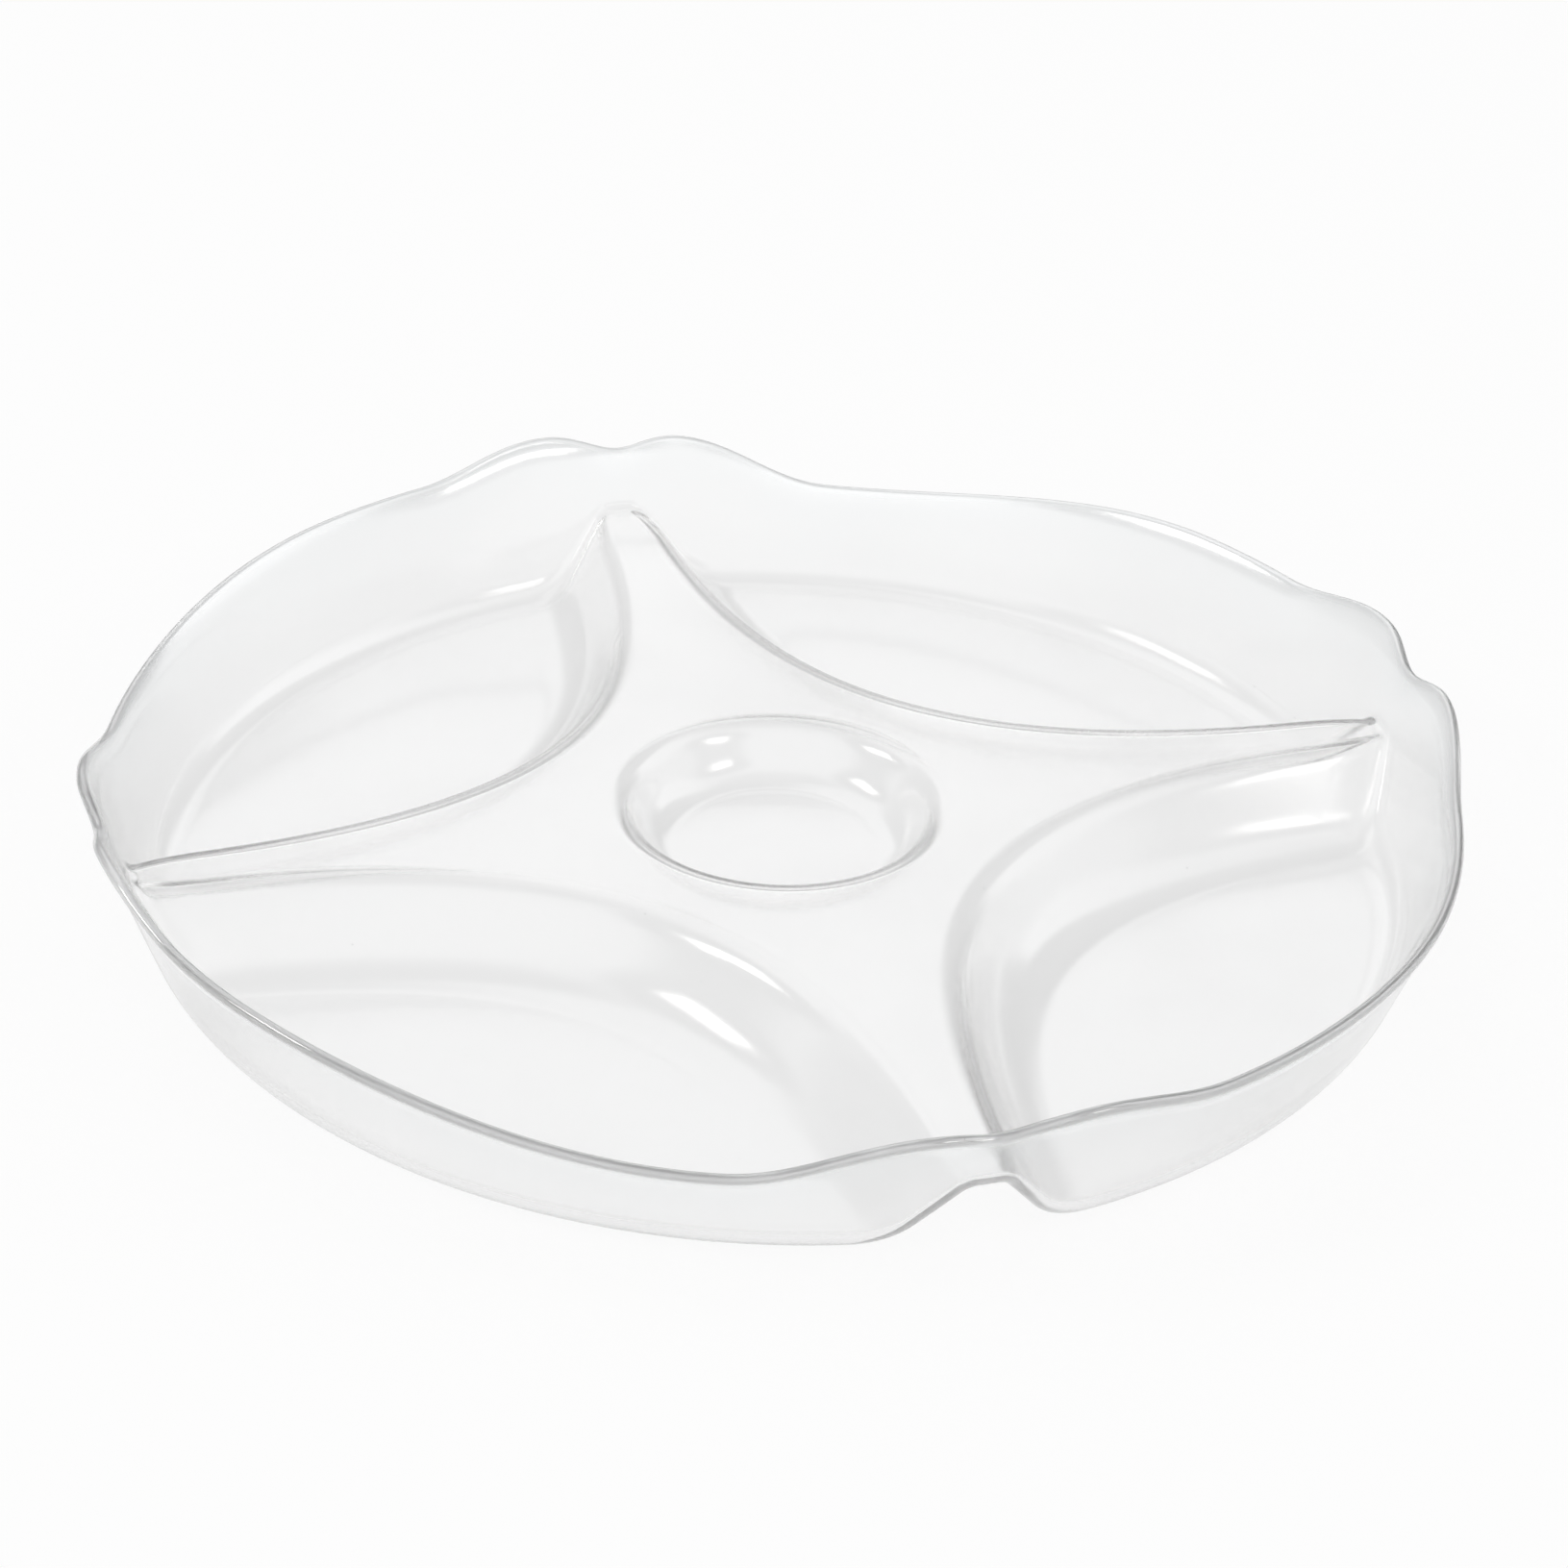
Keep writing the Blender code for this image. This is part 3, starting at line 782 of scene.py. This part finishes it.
@dataclass(frozen=True)
class Camera:
    """The photograph's camera: where it stands about the dish, its lens and its framing."""

    elevation: float = math.radians(32.095)
    azimuth: float = math.radians(-17.333)
    roll: float = math.radians(2.354)
    distance: float = 0.84516
    focal_pixels: float = 4220.7
    shift_right: float = 7.88
    shift_up: float = 94.89
    film: float = 36.0

    def place(self) -> None:
        """Makes the camera, with its axes from the azimuth and elevation and then rolled."""
        back = Vector(
            (
                math.sin(self.azimuth) * math.cos(self.elevation),
                -math.cos(self.azimuth) * math.cos(self.elevation),
                math.sin(self.elevation),
            )
        )
        right = Vector((math.cos(self.azimuth), math.sin(self.azimuth), 0.0))
        up = back.cross(right)
        rolled_right = right * math.cos(self.roll) + up * math.sin(self.roll)
        rolled_up = up * math.cos(self.roll) - right * math.sin(self.roll)
        lens = bpy.data.cameras.new("photo_camera")
        lens.sensor_width = self.film
        lens.lens = self.film * self.focal_pixels / PHOTO_PIXELS
        lens.shift_x = self.shift_right / PHOTO_PIXELS
        lens.shift_y = self.shift_up / PHOTO_PIXELS
        camera = bpy.data.objects.new("photo_camera", lens)
        turn = Matrix((rolled_right, rolled_up, back)).transposed()
        camera.matrix_world = Matrix.Translation(back * self.distance) @ turn.to_4x4()
        bpy.context.scene.collection.objects.link(camera)
        bpy.context.scene.camera = camera


@dataclass(frozen=True)
class Studio:
    """The white sweep, the room above it with its lighter and dimmer sides, and two soft lamps.

    The patches are, in turn: a dim ceiling; the bright back, front and right; dark panels that the
    front right flank mirrors; a dim band along the back; and a dark frame round each lamp.
    """

    floor_reach: float = 20.0
    floor_drop: float = 0.0003
    floor_paint: Colour = (0.88, 0.88, 0.88, 1.0)
    seen_glow: float = 0.9
    dish_glow: float = 0.85
    # The dimmer white that the floor shows through the dish: painted shade for the dish's shadow on the
    # floor.
    shaded_through_white: float = 0.935
    light_bounces: int = 96
    room_level: float = 1.02
    patches: tuple[RoomPatch, ...] = (
        RoomPatch((0.0, 90.0), 0.30, 16.0, 34.0),
        RoomPatch((98.0, 38.0), 1.35, 30.0, 42.0),
        RoomPatch((-105.0, 12.0), 1.45, 30.0, 75.0),
        RoomPatch((3.0, 32.0), 1.50, 14.0, 26.0),
        RoomPatch((38.0, 12.0), 0.05, 14.0, 21.0),
        RoomPatch((38.0, 40.0), 0.02, 14.0, 21.0),
        RoomPatch((50.0, 62.0), 0.10, 8.0, 20.0),
        RoomPatch((62.0, 1.0), 0.42, 13.0, 22.0),
        RoomPatch((85.0, 1.0), 0.42, 13.0, 22.0),
        RoomPatch((108.0, 3.0), 0.42, 14.0, 24.0),
        RoomPatch((130.0, 5.0), 0.42, 14.0, 24.0),
        RoomPatch((118.0, 22.0), 0.40, 13.0, 24.0),
        RoomPatch((168.0, 37.0), 0.10, 18.0, 29.0),
        RoomPatch((-53.0, 35.0), 0.20, 14.0, 26.0),
    )
    softboxes: tuple[Softbox, ...] = (
        Softbox("left_softbox", (168.0, 37.5), 0.86, 0.52, 7.0),
        Softbox("right_softbox", (-54.0, 34.0), 0.62, 0.40, 6.5),
    )

    def floor_material(self) -> bpy.types.Material:
        """White paint that takes shade, mixed with a plain white that the camera and the dish see. Seen
        through the dish, the white is dimmer: painted shade for the dish's shadow on the floor.

        Returns:
            A material that is see-through from below, so the dish's underside can be looked at.
        """
        material = bpy.data.materials.new("white_sweep")
        material.use_nodes = True
        material.node_tree.nodes.clear()
        bench = NodeBench(material.node_tree)
        path = bench.add("ShaderNodeLightPath").outputs
        glow = {path["Is Camera Ray"]: self.seen_glow, path["Is Glossy Ray"]: self.dish_glow}
        share = bench.weigh(0.0, glow)
        # Rays that come through the dish see the white dimmed: painted shade for the dish's shadow on
        # the floor.
        strength = bench.mix(path["Is Transmission Ray"], 1.0, self.shaded_through_white)
        paint = bench.add("ShaderNodeBsdfDiffuse", {"Color": self.floor_paint}).outputs[0]
        white = bench.add("ShaderNodeEmission", {"Strength": strength}).outputs[0]
        lit = bench.add("ShaderNodeMixShader", {0: share, 1: paint, 2: white}).outputs[0]
        back = bench.add("ShaderNodeNewGeometry").outputs["Backfacing"]
        clear = bench.add("ShaderNodeBsdfTransparent").outputs[0]
        faced = bench.add("ShaderNodeMixShader", {0: back, 1: lit, 2: clear}).outputs[0]
        bench.add("ShaderNodeOutputMaterial", {"Surface": faced})
        return material

    def lay_floor(self) -> None:
        """Lays the sweep just below the dish, as one large flat sheet."""
        sides = ((-1, -1), (1, -1), (1, 1), (-1, 1))
        corners = [(x * self.floor_reach, y * self.floor_reach, -self.floor_drop) for x, y in sides]
        mesh = bpy.data.meshes.new("white_sweep")
        mesh.from_pydata(corners, [], [(0, 1, 2, 3)])
        mesh.materials.append(self.floor_material())
        floor = bpy.data.objects.new("white_sweep", mesh)
        bpy.context.scene.collection.objects.link(floor)

    def light_room(self) -> None:
        """A pale room with its patches laid over one another, which is plain white to the camera."""
        world = bpy.data.worlds.new("studio_room")
        world.use_nodes = True
        bench = NodeBench(world.node_tree)
        way = bench.add("ShaderNodeTexCoord").outputs["Generated"]
        level: Socket | float = self.room_level
        for patch in self.patches:
            level = patch.paint(bench, way, level)
        seen = bench.add("ShaderNodeLightPath").outputs["Is Camera Ray"]
        background = world.node_tree.nodes["Background"]
        background.inputs["Color"].default_value = (1.0, 1.0, 1.0, 1.0)
        bench.set(background.inputs["Strength"], bench.mix(seen, level, 1.0))
        bpy.context.scene.world = world

    def set_up(self) -> None:
        """Lays the floor, lights the room and hangs the lamps."""
        self.lay_floor()
        self.light_room()
        for softbox in self.softboxes:
            softbox.hang()
        scene = bpy.context.scene
        scene.view_settings.view_transform = "Standard"
        scene.cycles.max_bounces = self.light_bounces
        scene.cycles.transmission_bounces = self.light_bounces
        scene.cycles.glossy_bounces = self.light_bounces


def main() -> None:
    """Loads the frame, then makes the camera, the studio and the dish."""
    logging.basicConfig(level=logging.INFO, format="%(name)s: %(message)s")
    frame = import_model()
    Camera().place()
    Studio().set_up()
    moulding = Moulding()
    piece = moulding.build()
    moulding.dress(piece, ClearPlastic().material(), sorted(frame["nodes"]))


if __name__ == "__main__":
    main()
